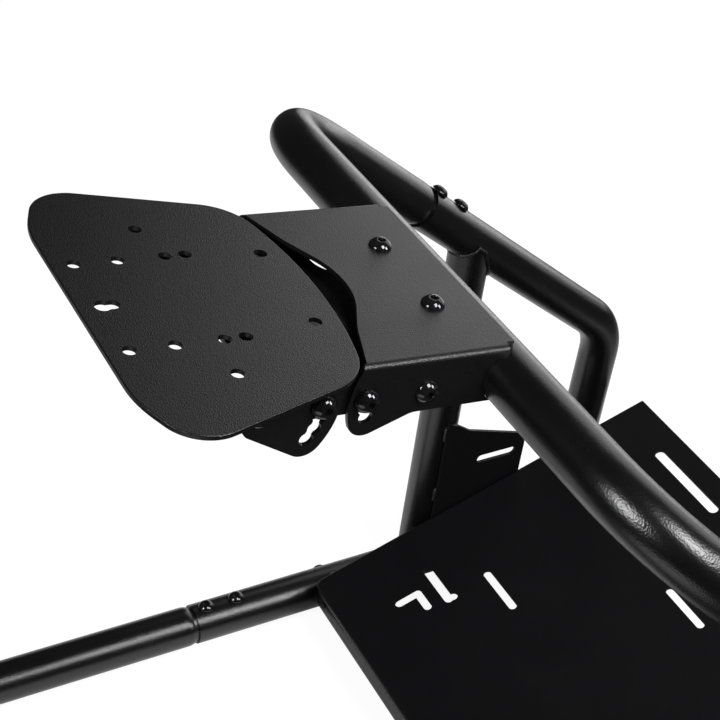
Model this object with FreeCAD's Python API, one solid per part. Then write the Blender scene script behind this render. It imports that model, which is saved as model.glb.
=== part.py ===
import FreeCAD, Part
import math
import os

os.makedirs("parts", exist_ok=True)

# Front frame of a sim racing cockpit: wheel arch, side frames, tilting wheel plate and pedal plate.
# Millimetres. X points forward to the pedals, Y to the driver's left, Z up.
# The origin lies on the floor, below the cross run of the wheel arch.

# Tubes
TUBE_D = 38.0
TUBE_WALL = 2.0
SEAT_GAP = 0.2            # between a cut edge and the round tube it is welded to or sits on
FRAME_WIDTH = 542.0       # between the tube axes of the two side frames
FOOT_H = 5.0              # rubber under a floor tube
ARCH_RISE = 557.0         # axis of the arch's cross run above the floor tubes' axes
ARM_SLOPE = 37.5          # fall of the arms, degrees
ARCH_BEND = 89.0
KNEE_BEND = 60.0
FLOOR_BEND = 75.0
LEG_X = 397.0
POST_X = 219.0
CROSS_TUBE_X = 119.0

# Plugged tube joints
JOINT_GAP = 3.6           # ring of the reduced end left in view
SPIGOT_LEN = 55.0
SPIGOT_FIT = 0.2
SHOULDER_LEN = 6.0        # rounded stretch before a reduced end
SHOULDER_DROP = 1.2
ARM_JOINT = 200.0         # from the cross run's axis, along the arm
RAIL_JOINT_X = -28.0

# Rubber feet
FOOT_LEN = 50.0
FOOT_WIDTH = 40.0
FOOT_HUG = 9.0            # height of the rubber beside the tube
FOOT_FRONT_X = 285.0
FOOT_MIDDLE_X = (CROSS_TUBE_X + POST_X) / 2
FOOT_REAR_X = -310.0

# Sheet metal
SHEET = 3.0
FOLD_R = 4.0
HOLE_D = 8.4

# Pedal plate, in its own frame: u up the slope from the rear edge, w square to the top face
PEDAL_SLOPE = 19.15
PEDAL_OVERHANG = 30.3     # rear edge behind the cross tube's axis
PEDAL_LIFT = 15.9         # rear edge above the cross tube
PEDAL_LEN = 383.5
PEDAL_CORNER = 9.0
PEDAL_LIP = 12.0
FLANGE_REAR = 40.0
FLANGE_FRONT = 25.0
FLANGE_DEEP_LEN = 77.0    # rear stretch at full depth
FLANGE_NOSE = 12.0
FLANGE_ROUND = 10.0
PEDAL_SLOT_W = 8.0
TOE_SLOT_W = 10.4
TOE_SLOT_SETBACK = 27.5   # behind the front edge
TOE_SLOT_LEN = 94.0
TOE_SLOT_Y = 136.5
MIDDLE_SLOT_U = 268.2
MIDDLE_SLOT_LEN = 52.5
MIDDLE_SLOT_Y = 19.4
HEEL_SLOT_U = 142.2
HEEL_SLOT_LEN = 52.5
HEEL_SLOT_Y = 135.0
LOW_SLOT_W = 9.0
LOW_SLOT_U = 97.6         # slot with a round hole beside its inner end
LOW_SLOT_LEN = 47.5
LOW_SLOT_Y = 174.0
LOW_HOLE_STEP = 4.7
ANGLE_SLOT_U = 76.8       # slot with two arms
ANGLE_SLOT_Y = 177.8
ANGLE_ALONG = 28.3
ANGLE_ACROSS = 27.5

# Gusset between post and pedal plate
GUSSET_LAP = 3.0          # rear edge behind the post's axis
GUSSET_LEN = 95.0
GUSSET_TOP = 189.0        # rear top corner above the rail axis
GUSSET_LOW = 58.0
GUSSET_FALL = 18.6        # slope of the top edge, degrees
GUSSET_CORNER = 17.0
GUSSET_HEEL = 5.3         # raised top edge at the post
GUSSET_HEEL_LEN = 12.0
GUSSET_HEEL_RUN = 14.0
GUSSET_SLOT_W = 9.0
GUSSET_SLOT_LEN = 44.0
GUSSET_SLOT_SETBACK = 10.0  # front end behind the gusset's front edge
GUSSET_SLOT_H = 139.0     # above the rail axis

# Wheel bracket, link and plate share one tilted frame: u forward from the cross run's axis, w up
DECK_TILT = 6.5
DECK_WIDTH = 170.0        # over the bracket walls and over the plate ears
FRONT_PIVOT_U = -59.0
PIVOT_SPAN = 110.0
PIVOT_W = -2.0
EAR_GAP = 5.4             # between the round ends of the ears
EAR_LAND = 11.3           # from the lock screw's arc to the round end
EAR_CORNER = 12.0
LINK_STEP = 9.0           # degrees from lobe to lobe
LINK_LOBES = 3
PLATE_STEP = 11.0
PLATE_LOBES = 4
LOBE_D = 9.0
NECK_W = 6.8

# Wheel bracket
BRACKET_TAIL = 45.0       # rear edge behind the front pivot
BELL_DEPTH = 36.6
BELL_CROWN_R = 64.0
BELL_FOOT = 11.9          # where the bell flares out, ahead of the rear edge
BELL_FOOT_WIDTH = 97.0
BELL_FOOT_R = 80.0
FOLD_RELIEF = 6.0         # the folds stop short of the front edge, with a square notch in the corner
WALL_DROP = 14.2          # lower wall edge below the pivots
WALL_STRAIGHT = 7.0       # straight lower edge ends behind the front pivot
WALL_ROUND = 15.0
EAR_DROP = 22.8           # fall of the lower edge towards the ear, degrees

# Tab under the bracket
TAB_H = 4.0
TAB_WIDTH = 140.0
TAB_LEN = 44.0
TAB_CORNER = 6.0
TOP_SCREW_U = -31.0
TOP_SCREW_SPAN = 67.0

# Tilt link
LINK_H = 22.0
LINK_PLAY = 0.3           # side play between link and ears
WEB_REAR = 3.0            # web starts ahead of the rear pivot
WEB_FRONT = 7.0           # web ends ahead of the front pivot
ACCESS_D = 33.0
ACCESS_SPAN = 88.0
ACCESS_U = 2.0            # centres ahead of the front pivot

# Wheel plate, along u from the rear pivot
PLATE_TAIL = 77.1
PLATE_TAIL_R = 75.0
PLATE_HIP = 18.0          # widest place ahead of the rear edge
PLATE_HIP_WIDTH = 259.2
PLATE_FLANK = 44.1        # the hip stands out past the rear edge's end
PLATE_HIP_R = 27.0
PLATE_NOSE = 73.2
PLATE_NOSE_WIDTH = 176.8  # between the straight sides at the nose
PLATE_NOSE_R = 300.0
PLATE_FRONT_R = 38.0
PLATE_EDGE_R = 0.8        # rounded rim of the top face
BASE_HOLE_SPAN = 87.2     # four pairs for wheel bases
BASE_HOLES_U = (-63.0, -36.0, -6.0, 7.0)
WIDE_HOLE_SPAN = 150.4
WIDE_HOLES_U = -12.6
NOSE_HOLE_SPAN = 74.8
NOSE_HOLES_U = 54.6
TAIL_SLOT_U = -59.2
TAIL_SLOT_LEN = 15.4
TAIL_HOLE_D = 10.5        # round hole at the slot's rear end

# Ears below the wheel plate
EAR_HEEL_U = -21.0        # rear end of the welded edge, from the rear pivot
EAR_KNUCKLE_U = -7.0
EAR_KNUCKLE_DROP = 13.5
EAR_KNUCKLE_R = 10.0
PLATE_EAR_DROP = 29.7     # fall of the lower edge, degrees

# Screws
PIVOT_D = 8.0
PIVOT_FIT = 0.1
LOCK_D = 6.0
HEAD_D = 14.0
HEAD_H = 4.4
HEAD_RIM = 0.9
HEAD_CROWN_D = 7.7
HEAD_BULGE = 0.16         # roundness of the head's flank, as a share of its slope
SHANK_PAST = 8.0          # shank showing past the inner sheet

# Places that follow from the sizes above
TUBE_R = TUBE_D / 2
SIDE_Y = FRAME_WIDTH / 2
RAIL_Z = FOOT_H + TUBE_R
ARCH_Z = RAIL_Z + ARCH_RISE
SPIGOT_D = TUBE_D - 2 * TUBE_WALL - SPIGOT_FIT
PEDAL_REAR_X = CROSS_TUBE_X - PEDAL_OVERHANG
PEDAL_REAR_Z = RAIL_Z + TUBE_R + PEDAL_LIFT
PEDAL_HALF = SIDE_Y - TUBE_R - SHEET
DECK_HALF = DECK_WIDTH / 2
DECK_TOP = TUBE_R + SHEET
REACH = DECK_HALF + SHEET
REAR_PIVOT_U = FRONT_PIVOT_U - PIVOT_SPAN
EAR_R = (PIVOT_SPAN - EAR_GAP) / 2
LOCK_R = EAR_R - EAR_LAND
FRONT_LOCK_U = FRONT_PIVOT_U - LOCK_R
REAR_LOCK_U = REAR_PIVOT_U + LOCK_R

# The rear loop reaches as far behind the arch as the pedal plate's front edge lies ahead of it
PEDAL_RISE = math.radians(PEDAL_SLOPE)
FRONT_X = PEDAL_REAR_X + PEDAL_LEN * math.cos(PEDAL_RISE) + SHEET * math.sin(PEDAL_RISE)
LOOP_X = TUBE_R - FRONT_X


def vec(x, y, z):
    return FreeCAD.Vector(x, y, z)


def save(shape, node):
    if not shape.isValid():
        raise ValueError("bad solid: " + node)
    shape.exportStep(os.path.join("parts", node + ".step"))


def save_pair(shape, node):
    """A left piece and its mirror image on the right."""
    save(shape, node + "_left")
    save(mirrored(shape), node + "_right")


def mirrored(shape):
    return shape.mirror(vec(0, 0, 0), vec(0, 1, 0))


def largest(shape):
    return max(shape.Solids, key=lambda solid: solid.Volume)


def rounded_corner(before, corner, after, radius):
    """First, middle and last point of the arc that rounds a corner."""
    into = (corner - before).normalize()
    out = (after - corner).normalize()
    turn = into.getAngle(out)
    run = radius * math.tan(turn / 2)
    bulge = radius / math.cos(turn / 2) - radius
    return corner - into * run, corner + (out - into).normalize() * bulge, corner + out * run


def bent_path(points, radii):
    """Wire of straight runs joined by tangent arcs, one radius for each inner point."""
    edges = []
    start = points[0]
    for before, corner, after, radius in zip(points, points[1:], points[2:], radii):
        first, middle, last = rounded_corner(before, corner, after, radius)
        edges.append(Part.makeLine(start, first))
        edges.append(Part.Arc(first, middle, last).toShape())
        start = last
    edges.append(Part.makeLine(start, points[-1]))
    return Part.Wire(edges)


def bar(path, diameter):
    """Round bar swept along a path."""
    first = path.Edges[0]
    start = first.valueAt(first.FirstParameter)
    along = first.tangentAt(first.FirstParameter)
    ring = Part.Wire(Part.makeCircle(diameter / 2, start, along))
    return path.makePipeShell([ring], True, False)


def bent_tube(points, radii):
    path = bent_path(points, radii)
    return bar(path, TUBE_D).cut(bar(path, TUBE_D - 2 * TUBE_WALL))


def rod(start, end, radius=TUBE_R):
    along = end - start
    return Part.makeCylinder(radius, along.Length, start, along)


def straight_tube(start, end):
    return rod(start, end).cut(rod(start, end, TUBE_R - TUBE_WALL))


def spigot(mouth, along):
    """Reduced tube end that bridges the joint gap and plugs into the next tube."""
    back = mouth - along * TUBE_WALL
    deep = mouth + along * (JOINT_GAP + SPIGOT_LEN)
    sleeve = rod(back, deep, SPIGOT_D / 2)
    collar = rod(back, mouth, TUBE_R - TUBE_WALL / 2)
    bore = rod(back, deep, SPIGOT_D / 2 - TUBE_WALL)
    return sleeve.fuse(collar).cut(bore)


def shoulder(mouth, along):
    """Cutter that rounds the outside of a tube just before its reduced end."""
    arc_r = (SHOULDER_LEN ** 2 + SHOULDER_DROP ** 2) / (2 * SHOULDER_DROP)
    halfway = math.asin(SHOULDER_LEN / arc_r) / 2
    start = vec(TUBE_R, 0, -SHOULDER_LEN)
    middle = start + vec(math.cos(halfway) - 1, 0, math.sin(halfway)) * arc_r
    end = vec(TUBE_R - SHOULDER_DROP, 0, 0)
    far = vec(TUBE_D, 0, 0)
    far_start = vec(TUBE_D, 0, -SHOULDER_LEN)
    ring = Part.Wire([Part.Arc(start, middle, end).toShape(), Part.makeLine(end, far),
                      Part.makeLine(far, far_start), Part.makeLine(far_start, start)])
    cutter = Part.Face(ring).revolve(vec(0, 0, 0), vec(0, 0, 1), 360)
    cutter.Placement = FreeCAD.Placement(mouth, FreeCAD.Rotation(vec(0, 0, 1), along))
    return cutter


def plugged(tube, mouths, along):
    """Tube with its two ends rounded and reduced to plug into the next tubes."""
    tube = tube.multiFuse([spigot(mouth, along) for mouth in mouths]).removeSplitter()
    for mouth in mouths:
        tube = tube.cut(shoulder(mouth, along))
    return tube


def outline(corners):
    """Closed face in the XY plane. A corner is (x, y) or (x, y, radius)."""
    points = [vec(corner[0], corner[1], 0) for corner in corners]
    stops = []
    for i, corner in enumerate(corners):
        if len(corner) > 2:
            after = points[(i + 1) % len(points)]
            stops.append(rounded_corner(points[i - 1], points[i], after, corner[2]))
        else:
            stops.append((points[i], None, points[i]))
    edges = []
    for (first, middle, last), (following, _, _) in zip(stops, stops[1:] + stops[:1]):
        if middle:
            edges.append(Part.Arc(first, middle, last).toShape())
        if last.distanceToPoint(following) > 1e-6:
            edges.append(Part.makeLine(last, following))
    return Part.Face(Part.Wire(edges))


def flat(corners, low, high):
    """Outline in (u, y), from w = low to w = high."""
    face = outline(corners)
    face.translate(vec(0, 0, low))
    return face.extrude(vec(0, 0, high - low))


def upright(corners, y_low, y_high):
    """Outline in (u, w), standing from y_low to y_high."""
    face = outline(corners)
    face.rotate(vec(0, 0, 0), vec(1, 0, 0), 90)
    face.translate(vec(0, y_low, 0))
    return face.extrude(vec(0, y_high - y_low, 0))


def across(u, w, radius, y_low=-REACH, y_high=REACH):
    """Cylinder along Y."""
    return Part.makeCylinder(radius, y_high - y_low, vec(u, y_low, w), vec(0, 1, 0))


def oblong(x, y, length, width, turn=0):
    """Round-ended face in the XY plane, lying along Y before it is turned."""
    half = width / 2
    run = length / 2 - half
    left = Part.makeLine(vec(-half, run, 0), vec(-half, -run, 0))
    low = Part.Arc(vec(-half, -run, 0), vec(0, -length / 2, 0), vec(half, -run, 0)).toShape()
    right = Part.makeLine(vec(half, -run, 0), vec(half, run, 0))
    high = Part.Arc(vec(half, run, 0), vec(0, length / 2, 0), vec(-half, run, 0)).toShape()
    face = Part.Face(Part.Wire([left, low, right, high]))
    face.rotate(vec(0, 0, 0), vec(0, 0, 1), turn)
    face.translate(vec(x, y, 0))
    return face


def sheet_slot(u, y, length, width, top, turn=0):
    """Cutter for a slot through a sheet whose top face is at w = top."""
    face = oblong(u, y, length, width, turn)
    face.translate(vec(0, 0, top - 2 * SHEET))
    return face.extrude(vec(0, 0, 3 * SHEET))


def sheet_hole(u, y, diameter, top):
    return Part.makeCylinder(diameter / 2, 3 * SHEET, vec(u, y, top - 2 * SHEET))


def in_deck(shape):
    """From the tilted deck frame to the cockpit frame."""
    placed = shape.copy()
    placed.rotate(vec(0, 0, 0), vec(0, 1, 0), DECK_TILT)
    placed.translate(vec(0, 0, ARCH_Z))
    return placed


def in_pedals(shape):
    """From the pedal plate's frame to the cockpit frame."""
    placed = shape.copy()
    placed.rotate(vec(0, 0, 0), vec(0, 1, 0), -PEDAL_SLOPE)
    placed.translate(vec(PEDAL_REAR_X, 0, PEDAL_REAR_Z))
    return placed


def arm_point(along, y):
    fall = math.radians(ARM_SLOPE)
    return vec(along * math.cos(fall), y, ARCH_Z - along * math.sin(fall))


def arm_point_at(x, y):
    return arm_point(x / math.cos(math.radians(ARM_SLOPE)), y)


def rail_point(x, y):
    return vec(x, y, RAIL_Z)


def screw(shank_d, shank_len):
    """Button head screw: underside of the head at the origin, shank down -Z."""
    head_r = HEAD_D / 2
    crown_r = HEAD_CROWN_D / 2
    rim = vec(head_r, 0, HEAD_RIM)
    crown = vec(crown_r, 0, HEAD_H)
    bulge = (rim + crown) * 0.5 + vec(HEAD_H - HEAD_RIM, 0, head_r - crown_r) * HEAD_BULGE
    tip = vec(shank_d / 2, 0, -shank_len)
    neck = vec(shank_d / 2, 0, 0)
    seat = vec(head_r, 0, 0)
    half = Part.Wire([
        Part.makeLine(seat, rim), Part.Arc(rim, bulge, crown).toShape(),
        Part.makeLine(crown, vec(0, 0, HEAD_H)), Part.makeLine(vec(0, 0, HEAD_H), vec(0, 0, -shank_len)),
        Part.makeLine(vec(0, 0, -shank_len), tip), Part.makeLine(tip, neck), Part.makeLine(neck, seat)])
    return Part.Face(half).revolve(vec(0, 0, 0), vec(0, 0, 1), 360)


def side_screws(u, shank_d, head_gap):
    """Pair of screws through both ears into the link, heads outside."""
    left = screw(shank_d, head_gap + SHEET + LINK_PLAY + SHEET + SHANK_PAST)
    left.rotate(vec(0, 0, 0), vec(1, 0, 0), -90)
    left.translate(vec(u, DECK_HALF + head_gap, PIVOT_W))
    return in_deck(Part.makeCompound([left, mirrored(left)]))


def lobed_slot(pivot_u, start_deg, step_deg, lobes):
    """Arc slot with a round seat for each lock position, through both ears."""
    centres = []
    for i in range(lobes):
        angle = math.radians(start_deg + step_deg * i)
        centres.append(vec(pivot_u + LOCK_R * math.cos(angle), 0, PIVOT_W + LOCK_R * math.sin(angle)))
    cutters = [across(centre.x, centre.z, LOBE_D / 2) for centre in centres]
    for here, there in zip(centres, centres[1:]):
        along = (there - here).normalize()
        side = vec(-along.z, 0, along.x) * (NECK_W / 2)
        corners = (here + side, there + side, there - side, here - side)
        cutters.append(upright([(c.x, c.z) for c in corners], -REACH, REACH))
    return cutters[0].multiFuse(cutters[1:])


def channel(rear, front, low, top, half, fold):
    """Folded sheet channel along u, open below, with rounded folds."""
    outer = Part.makeBox(front - rear, 2 * half, top - low, vec(rear, -half, low))
    folds = [e for e in outer.Edges if abs(e.CenterOfMass.z - top) < 1e-6
             and abs(abs(e.CenterOfMass.y) - half) < 1e-6]
    inner = Part.makeBox(front - rear, 2 * (half - SHEET), top - low - SHEET, vec(rear, SHEET - half, low))
    return outer.makeFillet(fold, folds).cut(inner)


# Wheel arch with its two reduced ends
arch_mouth = ARM_JOINT - JOINT_GAP / 2
arch_points = [arm_point(arch_mouth, -SIDE_Y), arm_point(0, -SIDE_Y), arm_point(0, SIDE_Y),
               arm_point(arch_mouth, SIDE_Y)]
down_arm = (arm_point(1, 0) - arm_point(0, 0)).normalize()
wheel_arch = bent_tube(arch_points, (ARCH_BEND, ARCH_BEND))
save(plugged(wheel_arch, (arch_points[0], arch_points[-1]), down_arm), "wheel_arch")

# Side frame: floor rail, leg and arm bent from one tube
rail_end = rail_point(RAIL_JOINT_X + JOINT_GAP / 2, SIDE_Y)
rail_corner = rail_point(LEG_X, SIDE_Y)
knee = arm_point_at(LEG_X, SIDE_Y)
arm_end = arm_point(ARM_JOINT + JOINT_GAP / 2, SIDE_Y)
save_pair(bent_tube([rail_end, rail_corner, knee, arm_end], (FLOOR_BEND, KNEE_BEND)), "side_frame")

# Post between rail and arm, both ends cut to the round tubes
rail_cut = rod(rail_end, rail_corner, TUBE_R + SEAT_GAP)
arm_cut = rod(arm_end, knee, TUBE_R + SEAT_GAP)
post = straight_tube(rail_point(POST_X, SIDE_Y), arm_point_at(POST_X, SIDE_Y))
save_pair(largest(post.cut(rail_cut).cut(arm_cut)), "post")

# Rear floor loop, plugged into the rails
loop_mouth = RAIL_JOINT_X - JOINT_GAP / 2
loop_points = [rail_point(loop_mouth, -SIDE_Y), rail_point(LOOP_X, -SIDE_Y), rail_point(LOOP_X, SIDE_Y),
               rail_point(loop_mouth, SIDE_Y)]
rear_loop = bent_tube(loop_points, (ARCH_BEND, ARCH_BEND))
save(plugged(rear_loop, (loop_points[0], loop_points[-1]), vec(1, 0, 0)), "rear_loop")

# Cross tube between the rails, below the pedal plate's rear edge
cross_ends = rail_point(CROSS_TUBE_X, -SIDE_Y), rail_point(CROSS_TUBE_X, SIDE_Y)
cross_tube = straight_tube(*cross_ends).cut(rail_cut).cut(mirrored(rail_cut))
save(largest(cross_tube), "pedal_cross_tube")

# Pedal plate: folded tray, open at the front, whose flanges sit on the cross tube
tray = flat([(0, -PEDAL_HALF, PEDAL_CORNER), (PEDAL_LEN, -PEDAL_HALF), (PEDAL_LEN, PEDAL_HALF),
             (0, PEDAL_HALF, PEDAL_CORNER)], -FLANGE_REAR, 0)
rim = [e for e in tray.Edges if e.BoundBox.ZMin > -1e-6 and e.BoundBox.XMin < PEDAL_LEN - SHEET]
tray = tray.makeFillet(FOLD_R, rim)
hollow_half = PEDAL_HALF - SHEET
hollow_corner = PEDAL_CORNER - SHEET
tray = tray.cut(flat([(SHEET, -hollow_half, hollow_corner), (PEDAL_LEN + SHEET, -hollow_half),
                      (PEDAL_LEN + SHEET, hollow_half), (SHEET, hollow_half, hollow_corner)],
                     -FLANGE_REAR, -SHEET))
lip_half = PEDAL_HALF - PEDAL_CORNER
tray = tray.cut(flat([(-SHEET, -lip_half), (PEDAL_CORNER, -lip_half), (PEDAL_CORNER, lip_half),
                      (-SHEET, lip_half)], -FLANGE_REAR, -PEDAL_LIP))
flange = upright([(0, 0), (PEDAL_LEN, 0), (PEDAL_LEN, -FOLD_R),
                  (PEDAL_LEN - FLANGE_NOSE, -FLANGE_FRONT, FLANGE_ROUND),
                  (FLANGE_DEEP_LEN, -FLANGE_REAR, FLANGE_ROUND), (0, -FLANGE_REAR)], -PEDAL_HALF, PEDAL_HALF)
tray = tray.common(flange)
low_slot = sheet_slot(LOW_SLOT_U, LOW_SLOT_Y, LOW_SLOT_LEN, LOW_SLOT_W, 0)
low_hole_y = LOW_SLOT_Y - LOW_SLOT_LEN / 2 + LOW_SLOT_W / 2
low_slot = low_slot.fuse(sheet_hole(LOW_SLOT_U + LOW_HOLE_STEP, low_hole_y, LOW_SLOT_W, 0))
along_u = ANGLE_SLOT_U + PEDAL_SLOT_W / 2 - ANGLE_ALONG / 2
across_y = ANGLE_SLOT_Y + LOW_SLOT_W / 2 - ANGLE_ACROSS / 2
angle_slot = sheet_slot(along_u, ANGLE_SLOT_Y, ANGLE_ALONG, LOW_SLOT_W, 0, 90)
angle_slot = angle_slot.fuse(sheet_slot(ANGLE_SLOT_U, across_y, ANGLE_ACROSS, PEDAL_SLOT_W, 0))
left_slots = [sheet_slot(PEDAL_LEN - TOE_SLOT_SETBACK, TOE_SLOT_Y, TOE_SLOT_LEN, TOE_SLOT_W, 0),
              sheet_slot(HEEL_SLOT_U, HEEL_SLOT_Y, HEEL_SLOT_LEN, PEDAL_SLOT_W, 0), low_slot, angle_slot]
for slot in left_slots + [mirrored(slot) for slot in left_slots]:
    tray = tray.cut(slot)
tray = tray.cut(sheet_slot(MIDDLE_SLOT_U, MIDDLE_SLOT_Y, MIDDLE_SLOT_LEN, PEDAL_SLOT_W, 0))
save(in_pedals(tray).cut(rod(*cross_ends, TUBE_R + SEAT_GAP)), "pedal_plate")

# Gusset plates hold the pedal plate's flanges to the posts
gusset_rear = POST_X - GUSSET_LAP
gusset_front = gusset_rear + GUSSET_LEN
gusset_low = RAIL_Z + GUSSET_LOW


def gusset_edge(along, lift=0):
    """Point of the sloped top edge, measured along X from the gusset's rear edge."""
    return gusset_rear + along, RAIL_Z + GUSSET_TOP - along * math.tan(math.radians(GUSSET_FALL)) + lift


gusset = upright([(gusset_rear, gusset_low), (gusset_front, gusset_low, GUSSET_CORNER),
                  (*gusset_edge(GUSSET_LEN), GUSSET_CORNER), gusset_edge(GUSSET_HEEL_LEN + GUSSET_HEEL_RUN),
                  gusset_edge(GUSSET_HEEL_LEN, GUSSET_HEEL), gusset_edge(0, GUSSET_HEEL)],
                 PEDAL_HALF, PEDAL_HALF + SHEET)
slot_x = gusset_front - GUSSET_SLOT_SETBACK - GUSSET_SLOT_LEN / 2
slot = oblong(slot_x, RAIL_Z + GUSSET_SLOT_H, GUSSET_SLOT_LEN, GUSSET_SLOT_W, 90)
slot.rotate(vec(0, 0, 0), vec(1, 0, 0), 90)
slot.translate(vec(0, PEDAL_HALF - SHEET, 0))
save_pair(gusset.cut(slot.extrude(vec(0, 3 * SHEET, 0))), "pedal_gusset")

# Tab welded to the cross run, below the wheel bracket
seat_cut = across(0, 0, TUBE_R + SEAT_GAP)
top_screw_y = TOP_SCREW_SPAN / 2
tab = flat([(-TAB_LEN, -TAB_WIDTH / 2, TAB_CORNER), (0, -TAB_WIDTH / 2), (0, TAB_WIDTH / 2),
            (-TAB_LEN, TAB_WIDTH / 2, TAB_CORNER)], TUBE_R - TAB_H, TUBE_R)
left_hole = Part.makeCylinder(HOLE_D / 2, TAB_H + SHEET, vec(TOP_SCREW_U, top_screw_y, TUBE_R - TAB_H))
screw_holes = Part.makeCompound([left_hole, mirrored(left_hole)])
save(in_deck(tab.cut(seat_cut).cut(screw_holes)), "arch_tab")

# Wheel bracket: folded channel with a bell-shaped notch and a lobed ear on each wall
bracket_rear = FRONT_PIVOT_U - BRACKET_TAIL
bracket_far = FRONT_PIVOT_U - EAR_R
wall_low = PIVOT_W - WALL_DROP
wall_straight = FRONT_PIVOT_U - WALL_STRAIGHT
ear_low = wall_low - (wall_straight - bracket_far) * math.tan(math.radians(EAR_DROP))
walls = upright([(bracket_far, DECK_TOP), (-FOLD_RELIEF, DECK_TOP), (-FOLD_RELIEF, wall_low),
                 (wall_straight, wall_low, WALL_ROUND), (bracket_far, ear_low)], -DECK_HALF, DECK_HALF)
behind = Part.makeBox(EAR_R, 2 * DECK_HALF, 2 * EAR_R, vec(bracket_far, -DECK_HALF, PIVOT_W - EAR_R))
walls = walls.cut(behind.cut(across(FRONT_PIVOT_U, PIVOT_W, EAR_R)))
tip = [e for e in walls.Edges if e.BoundBox.YLength > DECK_HALF and e.BoundBox.XMax < FRONT_LOCK_U + LOBE_D
       and e.BoundBox.ZMax < wall_low]
walls = walls.makeFillet(EAR_CORNER, tip)
relief_half = DECK_HALF - FOLD_RELIEF
top_strip = flat([(bracket_rear, -DECK_HALF), (-FOLD_RELIEF, -DECK_HALF), (-FOLD_RELIEF, -relief_half),
                  (0, -relief_half), (0, relief_half), (-FOLD_RELIEF, relief_half), (-FOLD_RELIEF, DECK_HALF),
                  (bracket_rear, DECK_HALF)], TUBE_R, DECK_TOP)
bracket = channel(bracket_far, 0, PIVOT_W - EAR_R, DECK_TOP, DECK_HALF, FOLD_R).common(walls.fuse(top_strip))
between = DECK_HALF - SHEET
bell_foot = bracket_rear + BELL_FOOT
bell_foot_y = BELL_FOOT_WIDTH / 2
bell = flat([(bracket_far, -between), (bracket_rear, -between), (bell_foot, -bell_foot_y, BELL_FOOT_R),
             (bracket_rear + BELL_DEPTH, 0, BELL_CROWN_R), (bell_foot, bell_foot_y, BELL_FOOT_R),
             (bracket_rear, between), (bracket_far, between)], 0, DECK_TOP)
pivot_hole = across(FRONT_PIVOT_U, PIVOT_W, (PIVOT_D + PIVOT_FIT) / 2)
link_slot = lobed_slot(FRONT_PIVOT_U, 180, LINK_STEP, LINK_LOBES)
for cutter in (bell, seat_cut, screw_holes, link_slot, pivot_hole):
    bracket = bracket.cut(cutter)
save(in_deck(bracket), "wheel_bracket")

# Tilt link: channel inside the ears, pivoting in the bracket and carrying the wheel plate
link_half = DECK_HALF - SHEET - LINK_PLAY
link_r = LINK_H / 2
link_low = PIVOT_W - link_r
link_rear = REAR_PIVOT_U - link_r
link_front = FRONT_PIVOT_U + link_r
link_side = oblong((link_rear + link_front) / 2, PIVOT_W, link_front - link_rear, LINK_H, 90)
link_side.rotate(vec(0, 0, 0), vec(1, 0, 0), 90)
link_side.translate(vec(0, -link_half, 0))
link = channel(link_rear, link_front, link_low, PIVOT_W + link_r, link_half, SHEET)
link = link.common(link_side.extrude(vec(0, 2 * link_half, 0)))
web_half = link_half - SHEET
for rear, front in ((link_rear, REAR_PIVOT_U + WEB_REAR), (FRONT_PIVOT_U + WEB_FRONT, link_front)):
    link = link.cut(Part.makeBox(front - rear, 2 * web_half, LINK_H, vec(rear, -web_half, link_low)))
for side in (-1, 1):
    access = vec(FRONT_PIVOT_U + ACCESS_U, side * ACCESS_SPAN / 2, link_low)
    link = link.cut(Part.makeCylinder(ACCESS_D / 2, LINK_H, access))
for u in (FRONT_PIVOT_U, REAR_PIVOT_U):
    link = link.cut(across(u, PIVOT_W, (PIVOT_D + PIVOT_FIT) / 2))
for u in (FRONT_LOCK_U, REAR_LOCK_U):
    link = link.cut(across(u, PIVOT_W, (LOCK_D + PIVOT_FIT) / 2))
save(in_deck(link), "tilt_link")

# Screws of the tilt mechanism and of the bracket
save(side_screws(FRONT_PIVOT_U, PIVOT_D, 0), "link_pivot_screws")
save(side_screws(FRONT_LOCK_U, LOCK_D, LINK_PLAY), "link_lock_screws")
save(side_screws(REAR_LOCK_U, LOCK_D, LINK_PLAY), "plate_lock_screws")
save(side_screws(REAR_PIVOT_U, PIVOT_D, LINK_PLAY), "plate_pivot_screws")
top_screw = screw(PIVOT_D, SHEET + TAB_H + SHANK_PAST)
top_screw.translate(vec(TOP_SCREW_U, top_screw_y, DECK_TOP))
save(in_deck(Part.makeCompound([top_screw, mirrored(top_screw)])), "bracket_screws")

# Wheel plate with its mounting holes
hip_u = PLATE_HIP - PLATE_TAIL
hip_y = PLATE_HIP_WIDTH / 2
tail_y = hip_y - PLATE_FLANK
plate = flat([(-PLATE_TAIL, -tail_y, PLATE_TAIL_R), (hip_u, -hip_y, PLATE_HIP_R),
              (PLATE_NOSE, -PLATE_NOSE_WIDTH / 2), (PLATE_NOSE, PLATE_NOSE_WIDTH / 2),
              (hip_u, hip_y, PLATE_HIP_R), (-PLATE_TAIL, tail_y, PLATE_TAIL_R)], TUBE_R, DECK_TOP)
nose_centre = vec(PLATE_NOSE - PLATE_NOSE_R, 0, TUBE_R)
nose_round = Part.makeCylinder(PLATE_NOSE_R, SHEET, nose_centre)
nose_round.rotate(nose_centre, vec(0, 0, 1), 180)
plate = plate.common(nose_round)
front_corners = [e for e in plate.Edges if e.BoundBox.XMin > 0 and e.BoundBox.ZLength > SHEET / 2
                 and e.BoundBox.YLength < SHEET / 2]
plate = plate.makeFillet(PLATE_FRONT_R, front_corners)
plate = plate.makeFillet(PLATE_EDGE_R, [e for e in plate.Edges if e.BoundBox.ZMin > DECK_TOP - SHEET / 2])
hole_pairs = [(u, BASE_HOLE_SPAN) for u in BASE_HOLES_U]
hole_pairs += [(WIDE_HOLES_U, WIDE_HOLE_SPAN), (NOSE_HOLES_U, NOSE_HOLE_SPAN)]
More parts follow.
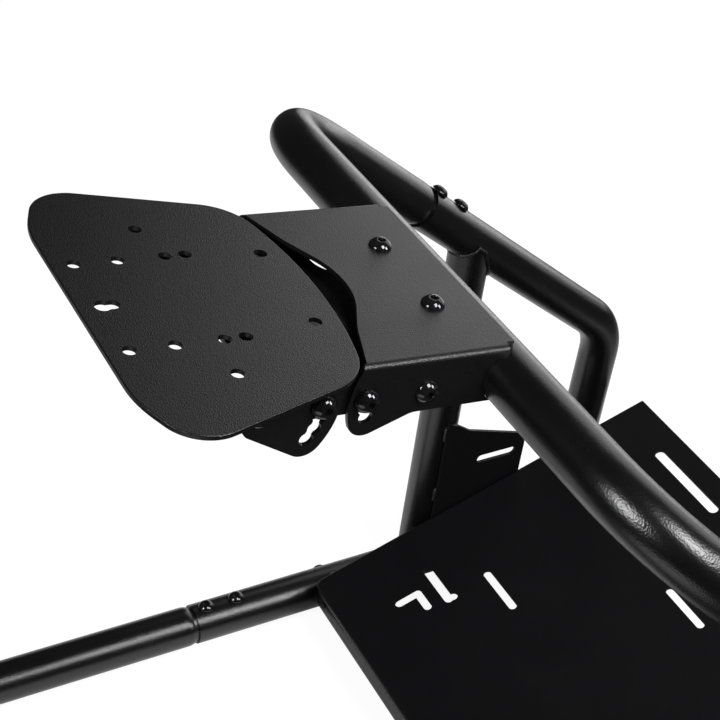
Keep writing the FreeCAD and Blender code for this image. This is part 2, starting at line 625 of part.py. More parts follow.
holes = [sheet_hole(u, side * span / 2, HOLE_D, DECK_TOP) for u, span in hole_pairs for side in (-1, 1)]
tail_hole_u = TAIL_SLOT_U - TAIL_SLOT_LEN / 2 + TAIL_HOLE_D / 2
tail_hole = sheet_hole(tail_hole_u, 0, TAIL_HOLE_D, DECK_TOP)
holes.append(sheet_slot(TAIL_SLOT_U, 0, TAIL_SLOT_LEN, HOLE_D, DECK_TOP, 90).fuse(tail_hole))
plate = plate.cut(Part.makeCompound(holes))
plate.translate(vec(REAR_PIVOT_U, 0, 0))
save(in_deck(plate), "wheel_plate")

# Ears welded below the wheel plate, with the rear pivot and the second lobed slot
knuckle_w = PIVOT_W - EAR_KNUCKLE_DROP
ear_tip_w = knuckle_w - (EAR_R - EAR_KNUCKLE_U) * math.tan(math.radians(PLATE_EAR_DROP))
ear = upright([(EAR_HEEL_U, TUBE_R), (EAR_KNUCKLE_U, knuckle_w, EAR_KNUCKLE_R), (EAR_R, ear_tip_w),
               (EAR_R, TUBE_R)], between, DECK_HALF)
ear.translate(vec(REAR_PIVOT_U, 0, 0))
ear = ear.common(across(REAR_PIVOT_U, PIVOT_W, EAR_R))
tip = [e for e in ear.Edges if abs(e.BoundBox.YLength - SHEET) < 1e-3 and e.BoundBox.ZMax < knuckle_w
       and e.BoundBox.XMin > REAR_LOCK_U - EAR_CORNER]
ear = ear.makeFillet(EAR_CORNER, tip)
ear = ear.cut(lobed_slot(REAR_PIVOT_U, 0, -PLATE_STEP, PLATE_LOBES))
ear = ear.cut(across(REAR_PIVOT_U, PIVOT_W, (PIVOT_D + PIVOT_FIT) / 2))
save_pair(in_deck(ear), "plate_ear")


def feet(x):
    """Rubber blocks that hug the floor tubes from below."""
    corner = vec(x - FOOT_LEN / 2, SIDE_Y - FOOT_WIDTH / 2, 0)
    block = Part.makeBox(FOOT_LEN, FOOT_WIDTH, FOOT_H + FOOT_HUG, corner)
    hugged = rod(rail_point(x - FOOT_LEN, SIDE_Y), rail_point(x + FOOT_LEN, SIDE_Y), TUBE_R + SEAT_GAP)
    foot = block.cut(hugged)
    return Part.makeCompound([foot, mirrored(foot)])


save(feet(FOOT_FRONT_X), "feet_front")
save(feet(FOOT_MIDDLE_X), "feet_middle")
save(feet(FOOT_REAR_X), "feet_rear")
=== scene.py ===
import bpy
import math
from mathutils import Matrix, Vector


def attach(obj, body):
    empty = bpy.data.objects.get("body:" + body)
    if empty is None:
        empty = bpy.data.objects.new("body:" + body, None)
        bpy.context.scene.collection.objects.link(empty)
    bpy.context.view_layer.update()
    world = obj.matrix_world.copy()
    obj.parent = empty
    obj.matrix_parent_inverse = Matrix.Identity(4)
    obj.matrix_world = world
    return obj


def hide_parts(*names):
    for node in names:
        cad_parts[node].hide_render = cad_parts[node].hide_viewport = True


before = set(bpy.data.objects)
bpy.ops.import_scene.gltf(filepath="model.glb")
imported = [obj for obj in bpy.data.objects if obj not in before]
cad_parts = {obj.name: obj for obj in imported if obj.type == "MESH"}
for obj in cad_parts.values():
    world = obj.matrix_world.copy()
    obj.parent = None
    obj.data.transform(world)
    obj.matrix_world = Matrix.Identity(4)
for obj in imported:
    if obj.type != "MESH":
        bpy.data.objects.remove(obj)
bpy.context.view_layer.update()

# Sizes of the cockpit's tubes and sheets, in metres, as in its CAD source
TUBE_R = 0.019
SHEET = 0.003
SIDE_Y = 0.271
RAIL_Z = 0.024
ARCH_Z = 0.581
ARM_SLOPE = math.radians(37.5)
POST_X = 0.219
CROSS_TUBE_X = 0.119
GUSSET_Y = 0.252
GUSSET_REAR_X = 0.216
TAB_H = 0.004

# Sizes of the wheel deck
DECK_TILT = math.radians(6.5)
DECK_TOP = TUBE_R + SHEET
DECK_HALF = 0.085
LINK_PLAY = 0.0003
LINK_INSIDE = DECK_HALF - 2 * SHEET - LINK_PLAY
PIVOT_W = -0.002
FRONT_PIVOT_U = -0.059
REAR_PIVOT_U = -0.169
LOCK_R = 0.041

# Places of the screws
ARM_SCREWS = (0.209, 0.239)                          # down the arm
RAIL_SCREWS_X = (-0.0134, 0.0178)
GUSSET_SCREWS = ((0.249, 0.097), (0.292, 0.107))     # x and z
TOP_SCREW_U = -0.031
TOP_SCREW_Y = 0.0335
HEAD_SEAT = 0.0002                                   # under a flat head on the crest of a round tube
TUBE_SEAT = TUBE_R + HEAD_SEAT

# Screws, nuts and washers
M8_R = 0.004
M6_R = 0.003
HEX_SIDES = 6
HEAD_R = 0.0076
HEAD_H = 0.0046
HEAD_RIM = 0.0009
HEAD_SIDES = 40
HEAD_EDGE = 0.00018
CROWN_R = 0.0039
DOME_RINGS = 7
SOCKET_R = 0.0029
SOCKET_DEPTH = 0.0027
SHANK_PAST = 0.008
NUT_SIZE = 1.62           # height, and half the width over the flats, for a thread radius of 1
NUT_CORNER = 0.09         # turned down, for a corner radius of 1
BORE_SIDES = 32
WASHER_R = 0.0083
WASHER_H = 0.001
WASHER_TEETH = 24
WASHER_EDGE = 0.00012
TOOTH_DEPTH = 0.07 * WASHER_R
SHARP = 40                # degrees, from which an edge is rounded
FLAT = 0.9                # least share of Z in the normal of a face that lies flat

# Weld beads
BEAD_R = 0.0021
BEAD_SIDES = 12
BEAD_LEAST_RINGS = 16
RIPPLE = 0.16
RIPPLE_PITCH = 0.0026
RIPPLE_RINGS = 6
POLE_R = 0.000001         # taken for the radius at a pole, which has none
POST_BEAD_R = TUBE_R + 0.25 * BEAD_R
POST_BEAD_RINGS = 144
POST_BEAD_SIDES = 10
EAR_BEAD_OUT = 0.3 * BEAD_R
GUSSET_STITCHES = ((0.120, 0.137), (0.196, 0.214))       # low and high end
EAR_STITCHES = ((-0.184, -0.166), (-0.148, -0.130))      # rear and front end
TAB_STITCHES_Y = (-0.045, 0.0, 0.045)
TAB_STITCH_HALF = 0.014

# Directions
UP = Vector((0, 0, 1))
LEFT = Vector((0, 1, 0))
DECK_UP = Vector((math.sin(DECK_TILT), 0, math.cos(DECK_TILT)))
ARM_UP = Vector((math.sin(ARM_SLOPE), 0, math.cos(ARM_SLOPE)))
SIDES = (("left", LEFT), ("right", -LEFT))


def deck_point(u, y, w):
    """A point of the tilted wheel deck, u forward from the arch's cross tube and w up."""
    return Vector((u * math.cos(DECK_TILT) + w * math.sin(DECK_TILT), y,
                   ARCH_Z - u * math.sin(DECK_TILT) + w * math.cos(DECK_TILT)))


def arm_point(along, y, out):
    """A point of an arm, measured down the arm from the cross tube, and out square to it."""
    return Vector((along * math.cos(ARM_SLOPE) + out * math.sin(ARM_SLOPE), y,
                   ARCH_Z - along * math.sin(ARM_SLOPE) + out * math.cos(ARM_SLOPE)))


# Finishes
NOISE_LOW = 0.3
NOISE_HIGH = 0.7
PATCH_SCALE = 22.0


def new_finish(name):
    finish = bpy.data.materials.new(name)
    finish.use_nodes = True
    return finish, finish.node_tree.nodes, finish.node_tree.links


def add_noise(nodes, links, where, scale, detail, roughness=0.5):
    noise = nodes.new("ShaderNodeTexNoise")
    noise.inputs["Scale"].default_value = scale
    noise.inputs["Detail"].default_value = detail
    noise.inputs["Roughness"].default_value = roughness
    links.new(where.outputs["Object"], noise.inputs["Vector"])
    return noise


def add_grains(nodes, links, where, scale):
    grains = nodes.new("ShaderNodeTexVoronoi")
    grains.inputs["Scale"].default_value = scale
    links.new(where.outputs["Object"], grains.inputs["Vector"])
    return grains


def add_tint(nodes, links, noise, shader, dark, light, low, high):
    tint = nodes.new("ShaderNodeValToRGB")
    tint.color_ramp.elements[0].position = low
    tint.color_ramp.elements[0].color = (*dark, 1)
    tint.color_ramp.elements[1].position = high
    tint.color_ramp.elements[1].color = (*light, 1)
    links.new(noise.outputs["Fac"], tint.inputs["Fac"])
    links.new(tint.outputs["Color"], shader.inputs["Base Color"])


def add_gloss(nodes, links, noise, shader, smooth, rough):
    gloss = nodes.new("ShaderNodeMapRange")
    gloss.inputs["From Min"].default_value = NOISE_LOW
    gloss.inputs["From Max"].default_value = NOISE_HIGH
    gloss.inputs["To Min"].default_value = smooth
    gloss.inputs["To Max"].default_value = rough
    links.new(noise.outputs["Fac"], gloss.inputs["Value"])
    links.new(gloss.outputs["Result"], shader.inputs["Roughness"])


def add_bump(nodes, links, height, shader, strength, distance):
    bump = nodes.new("ShaderNodeBump")
    bump.inputs["Strength"].default_value = strength
    bump.inputs["Distance"].default_value = distance
    links.new(height, bump.inputs["Height"])
    links.new(bump.outputs["Normal"], shader.inputs["Normal"])


def powder_coat(name, dark, light, rough, grain, peel, specular):
    """Fine textured black powder coat: speckled tint, uneven gloss and a grainy skin."""
    finish, nodes, links = new_finish(name)
    shader = nodes["Principled BSDF"]
    shader.inputs["Specular IOR Level"].default_value = specular
    where = nodes.new("ShaderNodeTexCoord")
    speckle = add_noise(nodes, links, where, scale=grain, detail=2.0, roughness=0.6)
    grains = add_grains(nodes, links, where, scale=grain)
    patch = add_noise(nodes, links, where, scale=PATCH_SCALE, detail=4.0)
    add_tint(nodes, links, speckle, shader, dark=dark, light=light, low=0.38, high=0.74)
    add_gloss(nodes, links, patch, shader, smooth=rough - 0.02, rough=rough + 0.03)
    add_bump(nodes, links, grains.outputs["Distance"], shader, strength=1.0, distance=peel)
    return finish


def black_oxide(name):
    """Blackened, oiled screw steel."""
    finish, nodes, links = new_finish(name)
    shader = nodes["Principled BSDF"]
    shader.inputs["Metallic"].default_value = 0.9
    where = nodes.new("ShaderNodeTexCoord")
    wear = add_noise(nodes, links, where, scale=700.0, detail=4.0)
    add_tint(nodes, links, wear, shader, dark=(0.045, 0.045, 0.047), light=(0.085, 0.085, 0.088),
             low=0.3, high=0.8)
    add_gloss(nodes, links, wear, shader, smooth=0.05, rough=0.11)
    add_bump(nodes, links, wear.outputs["Fac"], shader, strength=0.06, distance=0.0002)
    return finish


def weld_metal(name):
    """Weld bead under the same black coat, smoother than the tube."""
    finish, nodes, links = new_finish(name)
    shader = nodes["Principled BSDF"]
    shader.inputs["Specular IOR Level"].default_value = 0.5
    where = nodes.new("ShaderNodeTexCoord")
    spatter = add_noise(nodes, links, where, scale=520.0, detail=3.0)
    add_tint(nodes, links, spatter, shader, dark=(0.004, 0.004, 0.0045), light=(0.011, 0.011, 0.012),
             low=0.35, high=0.75)
    add_gloss(nodes, links, spatter, shader, smooth=0.24, rough=0.4)
    add_bump(nodes, links, spatter.outputs["Fac"], shader, strength=0.4, distance=0.0005)
    return finish


def moulded_rubber(name):
    """Matt black rubber with a dusty, pitted skin."""
    finish, nodes, links = new_finish(name)
    shader = nodes["Principled BSDF"]
    shader.inputs["Specular IOR Level"].default_value = 0.3
    where = nodes.new("ShaderNodeTexCoord")
    pits = add_noise(nodes, links, where, scale=450.0, detail=5.0)
    add_tint(nodes, links, pits, shader, dark=(0.009, 0.009, 0.009), light=(0.03, 0.029, 0.028),
             low=0.2, high=0.8)
    add_gloss(nodes, links, pits, shader, smooth=0.7, rough=0.9)
    add_bump(nodes, links, pits.outputs["Fac"], shader, strength=0.35, distance=0.0005)
    return finish


tube_coat = powder_coat("tube_coat", dark=(0.0016, 0.0015, 0.0018), light=(0.005, 0.0047, 0.0054),
                        rough=0.25, grain=950.0, peel=0.000095, specular=0.78)
deck_coat = powder_coat("deck_coat", dark=(0.003, 0.0027, 0.0032), light=(0.009, 0.0085, 0.0094),
                        rough=0.32, grain=1250.0, peel=0.00011, specular=0.56)
# Darker copy of the deck's coat for the pedal plate and gussets: painted shade, for faces that get less
# light
shaded_pedal_coat = powder_coat("shaded_pedal_coat", dark=(0.0032, 0.0028, 0.0034), light=(0.0064, 0.0056, 0.0066),
                         rough=0.45, grain=1400.0, peel=0.00004, specular=0.18)
screw_black = black_oxide("screw_black")
weld_black = weld_metal("weld_black")
foot_rubber = moulded_rubber("foot_rubber")

# The CAD nodes get their finishes
DECK_NODES = ("wheel_plate", "wheel_bracket", "tilt_link", "arch_tab", "plate_ear_left", "plate_ear_right")


def finish_of(name):
    if name in DECK_NODES:
        return deck_coat
    # The pedal plate and gussets take the darker copy of the coat, which paints in their shade
    if name.startswith(("pedal_plate", "pedal_gusset")):
        return shaded_pedal_coat
    if name.startswith("feet"):
        return foot_rubber
    if name.endswith("screws"):
        return screw_black
    return tube_coat


for name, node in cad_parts.items():
    node.data.materials.clear()
    node.data.materials.append(finish_of(name))


# Modelling by hand
def new_piece(name):
    """The primitive that was just added, named, alone in the selection and with its place in its mesh."""
    piece = bpy.context.view_layer.objects.active
    bpy.ops.object.select_all(action="DESELECT")
    piece.select_set(True)
    bpy.ops.object.transform_apply(location=True, rotation=False, scale=False)
    piece.name = name
    return piece


def add_cylinder(name, sides, radius, low, high):
    """Cylinder on the Z axis, between two heights."""
    bpy.ops.object.select_all(action="DESELECT")
    bpy.ops.mesh.primitive_cylinder_add(vertices=sides, radius=radius, depth=high - low,
                                        location=(0, 0, (low + high) / 2))
    return new_piece(name)


def pick(piece, test):
    """In edit mode, select the faces whose centre and normal pass the test."""
    bpy.ops.object.mode_set(mode="EDIT")
    bpy.ops.mesh.select_mode(type="FACE")
    bpy.ops.mesh.select_all(action="DESELECT")
    bpy.ops.object.mode_set(mode="OBJECT")
    for face in piece.data.polygons:
        face.select = test(face.center, face.normal)
    bpy.ops.object.mode_set(mode="EDIT")


def soften(piece, width):
    """Small round on the sharp edges."""
    bpy.context.view_layer.objects.active = piece
    edge = piece.modifiers.new("edge", "BEVEL")
    edge.width = width
    edge.segments = 2
    edge.limit_method = "ANGLE"
    edge.angle_limit = math.radians(SHARP)
    bpy.ops.object.modifier_apply(modifier=edge.name)


def carve(piece, tool):
    """Takes the tool's shape out of the piece and throws the tool away."""
    bpy.context.view_layer.objects.active = piece
    cut = piece.modifiers.new("cut", "BOOLEAN")
    cut.operation = "DIFFERENCE"
    cut.solver = "EXACT"
    cut.object = tool
    bpy.ops.object.modifier_apply(modifier=cut.name)
    bpy.data.objects.remove(tool)


def finish_piece(piece, finish, smooth_up_to=35):
    """Shades the piece smooth, up to an angle in degrees, and coats it."""
    bpy.ops.object.select_all(action="DESELECT")
    piece.select_set(True)
    bpy.context.view_layer.objects.active = piece
    bpy.ops.object.shade_smooth_by_angle(angle=math.radians(smooth_up_to))
    piece.data.materials.append(finish)
    return piece


def put(piece, place, axis, turn=0.0):
    """Stands a piece modelled on +Z at its place, with its place in its mesh."""
    stand = UP.rotation_difference(axis).to_matrix().to_4x4()
    piece.data.transform(Matrix.Translation(place) @ stand @ Matrix.Rotation(turn, 4, "Z"))
    piece.data.update()


def copy_to(model, name, place, axis, body, turn):
    """A copy with its own mesh, stood at its place and turned on its axis."""
    piece = model.copy()
    piece.data = model.data.copy()
    piece.name = name
    bpy.context.collection.objects.link(piece)
    put(piece, place, axis, turn)
    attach(piece, body)
    return piece


# Screws, nuts and washers, each modelled once
def raise_dome():
    """Draws the selected top of the rim up in rings, on a ball that ends at the crown."""
    middle = (CROWN_R ** 2 + HEAD_H ** 2 - HEAD_R ** 2 - HEAD_RIM ** 2) / (2 * (HEAD_H - HEAD_RIM))
    ball_r = math.hypot(HEAD_R, HEAD_RIM - middle)
    low = math.acos(HEAD_R / ball_r)
    high = math.acos(CROWN_R / ball_r)
    before_r, before_h = HEAD_R, HEAD_RIM
    for step in range(1, DOME_RINGS + 1):
        lean = low + (high - low) * step / DOME_RINGS
        ring_r = ball_r * math.cos(lean)
        ring_h = middle + ball_r * math.sin(lean)
        bpy.ops.mesh.extrude_region_move(TRANSFORM_OT_translate={"value": (0, 0, ring_h - before_h)})
        bpy.ops.transform.resize(value=(ring_r / before_r, ring_r / before_r, 1))
        before_r, before_h = ring_r, ring_h


def model_screw(name, shank_r, shank_len):
    """Button head, a slice of a ball over a straight rim, with a hexagon socket and its shank."""
    screw = add_cylinder(name, HEAD_SIDES, HEAD_R, 0, HEAD_RIM)
    pick(screw, lambda centre, normal: normal.z > FLAT)
    raise_dome()
    pick(screw, lambda centre, normal: normal.z < -FLAT)
    bpy.ops.mesh.inset(thickness=HEAD_R - shank_r, depth=0)
    bpy.ops.mesh.extrude_region_move(TRANSFORM_OT_translate={"value": (0, 0, -shank_len)})
    bpy.ops.object.mode_set(mode="OBJECT")
    carve(screw, add_cylinder("socket", HEX_SIDES, SOCKET_R, HEAD_H - SOCKET_DEPTH, HEAD_H + SOCKET_DEPTH))
    soften(screw, HEAD_EDGE)
    return finish_piece(screw, screw_black)


def model_nut(name, thread_r):
    """Hexagon nut with turned-down corners on both faces."""
    height = thread_r * NUT_SIZE
    corner_r = height / math.cos(math.pi / HEX_SIDES)
    nut = add_cylinder(name, HEX_SIDES, corner_r, 0, height)
    pick(nut, lambda centre, normal: abs(normal.z) > FLAT)
    bpy.ops.mesh.bevel(offset=corner_r * NUT_CORNER, segments=2)
    bpy.ops.object.mode_set(mode="OBJECT")
    carve(nut, add_cylinder("bore", BORE_SIDES, thread_r, -2 * height, 2 * height))
    return finish_piece(nut, screw_black)


def model_washer(name):
    """Serrated washer: every second stretch of the rim drawn in."""
    washer = add_cylinder(name, 2 * WASHER_TEETH, WASHER_R, 0, WASHER_H)
    stretch = math.pi / WASHER_TEETH

    def between_teeth(centre, normal):
        number = round(math.atan2(centre.x, centre.y) / stretch - 0.5)
        return abs(normal.z) < FLAT and number % 2 == 0

    pick(washer, between_teeth)
    bpy.ops.mesh.extrude_faces_move(TRANSFORM_OT_shrink_fatten={"value": -TOOTH_DEPTH})
    bpy.ops.object.mode_set(mode="OBJECT")
    soften(washer, WASHER_EDGE)
    return finish_piece(washer, screw_black, smooth_up_to=25)


short_screw = model_screw("short_screw", M8_R, SHEET)
m8_screw = model_screw("m8_screw", M8_R, 2 * SHEET + LINK_PLAY + SHANK_PAST)
m6_screw = model_screw("m6_screw", M6_R, 2 * SHEET + LINK_PLAY + WASHER_H + SHANK_PAST)
top_screw = model_screw("top_screw", M8_R, SHEET + TAB_H + SHANK_PAST)
m8_nut = model_nut("m8_nut", M8_R)
m6_nut = model_nut("m6_nut", M6_R)
washer_model = model_washer("washer_model")

# Screws of the plugged tube joints, the cross tube and the gussets
for side, out in SIDES:
    y = out.y * SIDE_Y
    for i, along in enumerate(ARM_SCREWS):
        place = arm_point(along, y, TUBE_SEAT)
        copy_to(short_screw, f"arm_screw_{side}_{i}", place, ARM_UP, "frame", turn=0.3 + i)
    for i, x in enumerate(RAIL_SCREWS_X):
        place = Vector((x, y, RAIL_Z + TUBE_SEAT))
        copy_to(short_screw, f"rail_screw_{side}_{i}", place, UP, "frame", turn=0.7 + i)
    place = Vector((CROSS_TUBE_X, y, RAIL_Z)) + out * TUBE_SEAT
    copy_to(short_screw, f"cross_tube_screw_{side}", place, out, "frame", turn=0.4)
    for i, (x, z) in enumerate(GUSSET_SCREWS):
        place = Vector((x, out.y * GUSSET_Y, z))
        copy_to(short_screw, f"gusset_screw_{side}_{i}", place, out, "frame", turn=0.2 + i)

# Screws of the wheel deck, in place of the plain CAD ones
PIVOTS = (("link_pivot", FRONT_PIVOT_U, 0.0, "frame"), ("plate_pivot", REAR_PIVOT_U, LINK_PLAY, "tilt_link"))
LOCKS = (("link_lock", FRONT_PIVOT_U - LOCK_R), ("plate_lock", REAR_PIVOT_U + LOCK_R))
for i, y in enumerate((-TOP_SCREW_Y, TOP_SCREW_Y)):
    on_top = deck_point(TOP_SCREW_U, y, DECK_TOP)
    under_tab = deck_point(TOP_SCREW_U, y, TUBE_R - TAB_H)
    screw = copy_to(top_screw, f"bracket_screw_{i}", on_top, DECK_UP, "frame", turn=0.5 + i)
    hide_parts("bracket_screws")
    copy_to(m8_nut, f"bracket_nut_{i}", under_tab, -DECK_UP, "frame", turn=0.2 + i)
for side, out in SIDES:
    for name, u, gap, body in PIVOTS:
        outside = deck_point(u, out.y * (DECK_HALF + gap), PIVOT_W)
        inside = deck_point(u, out.y * LINK_INSIDE, PIVOT_W)
        screw = copy_to(m8_screw, f"{name}_screw_{side}", outside, out, body, turn=0.35)
        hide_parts(f"{name}_screws")
        copy_to(m8_nut, f"{name}_nut_{side}", inside, -out, body, turn=0.1)
    for name, u in LOCKS:
        outside = deck_point(u, out.y * (DECK_HALF + LINK_PLAY), PIVOT_W)
        on_washer = outside + out * WASHER_H
        inside = deck_point(u, out.y * LINK_INSIDE, PIVOT_W)
        screw = copy_to(m6_screw, f"{name}_screw_{side}", on_washer, out, "tilt_link", turn=0.6)
        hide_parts(f"{name}_screws")
        copy_to(washer_model, f"{name}_washer_{side}", outside, out, "tilt_link", turn=0.05)
        copy_to(m6_nut, f"{name}_nut_{side}", inside, -out, "tilt_link", turn=0.4)
for model in (short_screw, m8_screw, m6_screw, top_screw, m8_nut, m6_nut, washer_model):
    bpy.data.objects.remove(model)


# Weld beads
def settle_bead(bead, body):
    finish_piece(bead, weld_black, smooth_up_to=60)
    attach(bead, body)


def ring_bead(name, centre, seam):
    """Bead round an upright post: a torus whose rings are lifted to the seam and rippled."""
    bpy.ops.object.select_all(action="DESELECT")
    bpy.ops.mesh.primitive_torus_add(major_segments=POST_BEAD_RINGS, minor_segments=POST_BEAD_SIDES,
                                     major_radius=POST_BEAD_R, minor_radius=BEAD_R)
    bead = new_piece(name)
    ripples = round(2 * math.pi * TUBE_R / RIPPLE_PITCH)
    for vertex in bead.data.vertices:
        angle = math.atan2(vertex.co.y, vertex.co.x)
        ring = Vector((math.cos(angle), math.sin(angle), 0)) * POST_BEAD_R
        swell = 1 + RIPPLE * math.sin(ripples * angle)
        vertex.co = centre + ring + (vertex.co - ring) * swell + UP * seam(ring.x, ring.y)
    settle_bead(bead, "frame")


def stitch_bead(name, start, end, body):
    """Short straight bead: a sphere drawn out along the seam and rippled."""
    length = (end - start).length
    rings = max(BEAD_LEAST_RINGS, round(RIPPLE_RINGS * length / RIPPLE_PITCH))
    bpy.ops.object.select_all(action="DESELECT")
    bpy.ops.mesh.primitive_uv_sphere_add(segments=BEAD_SIDES, ring_count=rings, radius=BEAD_R)
    bead = new_piece(name)
    for vertex in bead.data.vertices:
        along = math.asin(max(-1.0, min(1.0, vertex.co.z / BEAD_R))) / (math.pi / 2) * length / 2
        taper = min(1.0, (length / 2 - abs(along)) / BEAD_R) ** 0.5
        swell = taper * (1 + RIPPLE * math.sin(2 * math.pi * along / RIPPLE_PITCH))
        from_axis = max(POLE_R, math.hypot(vertex.co.x, vertex.co.y))
        vertex.co.x *= BEAD_R * swell / from_axis
        vertex.co.y *= BEAD_R * swell / from_axis
        vertex.co.z = along
    put(bead, (start + end) / 2, (end - start).normalized())
    settle_bead(bead, body)


def round_height(offset):
    """Height of a tube's surface over its axis at a sideways offset."""
    return math.sqrt(max(0.0, TUBE_R ** 2 - offset ** 2))


def under_arm(dx, dy):
    """Seam of a post's top end with the lower side of the sloping arm."""
    return -dx * math.tan(ARM_SLOPE) - round_height(dy) / math.cos(ARM_SLOPE)


def over_rail(dx, dy):
    """Seam of a post's foot with the upper side of the rail, which runs along X."""
    return round_height(dy)


for side, out in SIDES:
    y = out.y * SIDE_Y
    arm_axis = Vector((POST_X, y, ARCH_Z - POST_X * math.tan(ARM_SLOPE)))
    ring_bead(f"post_top_weld_{side}", arm_axis, under_arm)
    ring_bead(f"post_foot_weld_{side}", Vector((POST_X, y, RAIL_Z)), over_rail)
    for i, (low, high) in enumerate(GUSSET_STITCHES):
        start = Vector((GUSSET_REAR_X, out.y * GUSSET_Y, low))
        end = Vector((GUSSET_REAR_X, out.y * GUSSET_Y, high))
        stitch_bead(f"gusset_weld_{side}_{i}", start, end, "frame")
    for i, (rear, front) in enumerate(EAR_STITCHES):
        start = deck_point(rear, out.y * (DECK_HALF + EAR_BEAD_OUT), TUBE_R - EAR_BEAD_OUT)
        end = deck_point(front, out.y * (DECK_HALF + EAR_BEAD_OUT), TUBE_R - EAR_BEAD_OUT)
        stitch_bead(f"plate_ear_weld_{side}_{i}", start, end, "wheel_plate")
tab_low = TUBE_R - TAB_H
tab_u = -round_height(tab_low)
for i, y in enumerate(TAB_STITCHES_Y):
    start = deck_point(tab_u, y - TAB_STITCH_HALF, tab_low)
    end = deck_point(tab_u, y + TAB_STITCH_HALF, tab_low)
    stitch_bead(f"tab_weld_{i}", start, end, "frame")

# Studio floor and sky: white to the eye, dim to the part apart from two pools of light painted on the floor
BACKDROP_WHITE = 0.93
SKY_DIM = 0.04
FLOOR_SIZE = 30
FLOOR_SHADOW = (0.16, 0.16, 0.16, 1)     # colour to the eye that takes the part's shadow
FLOOR_SHEEN = 0.03
# Pools of light painted into the floor's colour, seen only by light and reflections: edge and middle colour,
# then centres and radii
POOL_EDGE = 0.03
POOL_MIDDLE = 0.95
POOLS = (((0.1, 0.7, 0), 0.6, 1.15), ((-0.85, -0.7, 0), 0.2, 0.7))     # centre, inner and outer radius


def painted_light_pool(nodes, links, where, centre, inner, outer):
    """Round pool of light painted on the floor, fading out between two radii."""
    reach = nodes.new("ShaderNodeVectorMath")
    reach.operation = "DISTANCE"
    reach.inputs[1].default_value = centre
    links.new(where.outputs["Object"], reach.inputs[0])
    pool = nodes.new("ShaderNodeMapRange")
    pool.interpolation_type = "SMOOTHSTEP"
    pool.inputs["From Min"].default_value = outer
    pool.inputs["From Max"].default_value = inner
    pool.inputs["To Min"].default_value = POOL_EDGE
    pool.inputs["To Max"].default_value = POOL_MIDDLE
    links.new(reach.outputs["Value"], pool.inputs["Value"])
    return pool


def floor_paint(name):
    """Plain white to the eye, and the two painted pools of light to bounce light and reflections."""
    finish, nodes, links = new_finish(name)
    shader = nodes["Principled BSDF"]
    shader.inputs["Roughness"].default_value = 0.9
    shader.inputs["Specular IOR Level"].default_value = 0.0
    shader.inputs["Emission Color"].default_value = (1, 1, 1, 1)
    where = nodes.new("ShaderNodeTexCoord")
    path = nodes.new("ShaderNodeLightPath")
    # Away from the eye, the floor's colour is the brighter of the two painted pools of light
    painted_light = nodes.new("ShaderNodeMath")
    painted_light.operation = "MAXIMUM"
    for pool, socket in zip(POOLS, painted_light.inputs):
        links.new(painted_light_pool(nodes, links, where, *pool).outputs["Result"], socket)
    paint = nodes.new("ShaderNodeMix")
    paint.data_type = "RGBA"
    paint.inputs["B"].default_value = FLOOR_SHADOW
    links.new(path.outputs["Is Camera Ray"], paint.inputs["Factor"])
    links.new(painted_light.outputs["Value"], paint.inputs["A"])
    links.new(paint.outputs["Result"], shader.inputs["Base Color"])
    shown = nodes.new("ShaderNodeMath")
    shown.operation = "MULTIPLY"
    shown.inputs[1].default_value = BACKDROP_WHITE
    links.new(path.outputs["Is Camera Ray"], shown.inputs[0])
    mirrored = nodes.new("ShaderNodeMath")
    mirrored.operation = "MULTIPLY_ADD"
    mirrored.inputs[1].default_value = FLOOR_SHEEN
    links.new(path.outputs["Is Glossy Ray"], mirrored.inputs[0])
    links.new(shown.outputs["Value"], mirrored.inputs[2])
    links.new(mirrored.outputs["Value"], shader.inputs["Emission Strength"])
    return finish


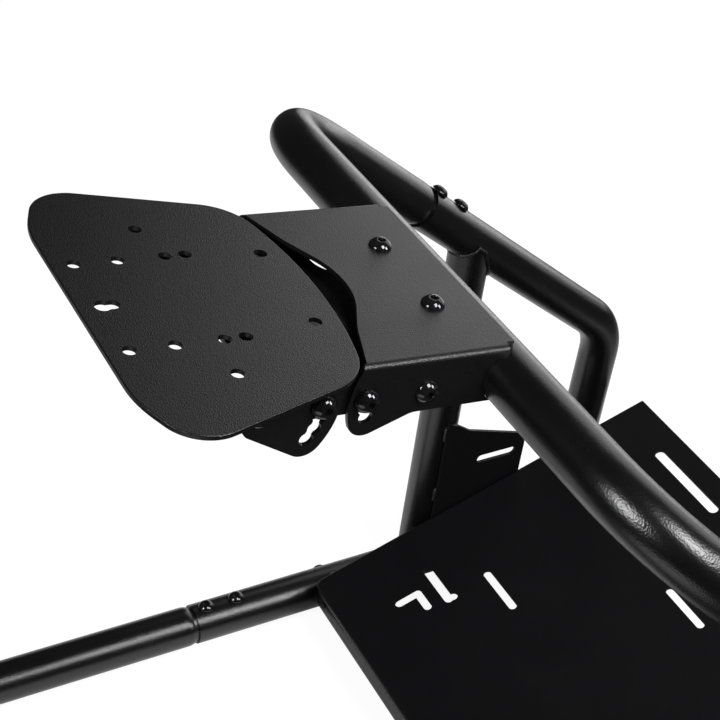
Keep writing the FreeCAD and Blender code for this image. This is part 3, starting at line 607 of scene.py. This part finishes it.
def hang_sky():
    """World that is white to the eye and dim to everything else."""
    world = bpy.data.worlds.new("studio")
    bpy.context.scene.world = world
    world.use_nodes = True
    nodes, links = world.node_tree.nodes, world.node_tree.links
    sky = nodes["Background"]
    sky.inputs["Color"].default_value = (1, 1, 1, 1)
    path = nodes.new("ShaderNodeLightPath")
    level = nodes.new("ShaderNodeMix")
    level.data_type = "FLOAT"
    level.inputs["A"].default_value = SKY_DIM
    level.inputs["B"].default_value = BACKDROP_WHITE
    links.new(path.outputs["Is Camera Ray"], level.inputs["Factor"])
    links.new(level.outputs["Result"], sky.inputs["Strength"])


bpy.ops.object.select_all(action="DESELECT")
bpy.ops.mesh.primitive_plane_add(size=FLOOR_SIZE)
floor = new_piece("studio_floor")
floor.data.materials.append(floor_paint("floor_paint"))
hang_sky()

# Lamps
LAMP_AIM = Vector((0.0, -0.05, 0.5))


def softbox(name, azimuth, elevation, distance, width, height, power):
    """Area lamp in a direction from the wheel deck, in degrees, facing it."""
    lean = math.radians(90 - elevation)
    turn = math.radians(azimuth)
    away = Vector((math.sin(lean) * math.cos(turn), math.sin(lean) * math.sin(turn), math.cos(lean)))
    bpy.ops.object.light_add(type="AREA", location=LAMP_AIM + away * distance,
                             rotation=(lean, 0, turn + math.radians(90)))
    lamp = bpy.context.object
    lamp.name = name
    lamp.data.shape = "RECTANGLE"
    lamp.data.size = width
    lamp.data.size_y = height
    lamp.data.energy = power


softbox("left_softbox", azimuth=-170, elevation=30, distance=2.2, width=0.6, height=0.9, power=26)
softbox("near_softbox", azimuth=-72, elevation=54, distance=2.2, width=0.8, height=0.9, power=32)
softbox("front_softbox", azimuth=-43, elevation=31, distance=2.2, width=0.5, height=0.8, power=19)
softbox("far_softbox", azimuth=29, elevation=19, distance=2.7, width=2.9, height=2.2, power=25)
softbox("low_softbox", azimuth=42, elevation=-4, distance=2.6, width=2.0, height=0.5, power=6)

# Camera, as fitted to the photo
CAMERA_PLACE = (-0.48734, -0.67482, 1.14587)
CAMERA_TURN = tuple(math.radians(angle) for angle in (52.9487, -6.2937, -28.0263))
CAMERA_LENS = 78.782
CAMERA_SENSOR = 36.0
bpy.ops.object.camera_add(location=CAMERA_PLACE, rotation=CAMERA_TURN)
camera = bpy.context.object
camera.data.lens = CAMERA_LENS
camera.data.sensor_width = CAMERA_SENSOR
bpy.context.scene.camera = camera
bpy.context.scene.view_settings.view_transform = "Standard"
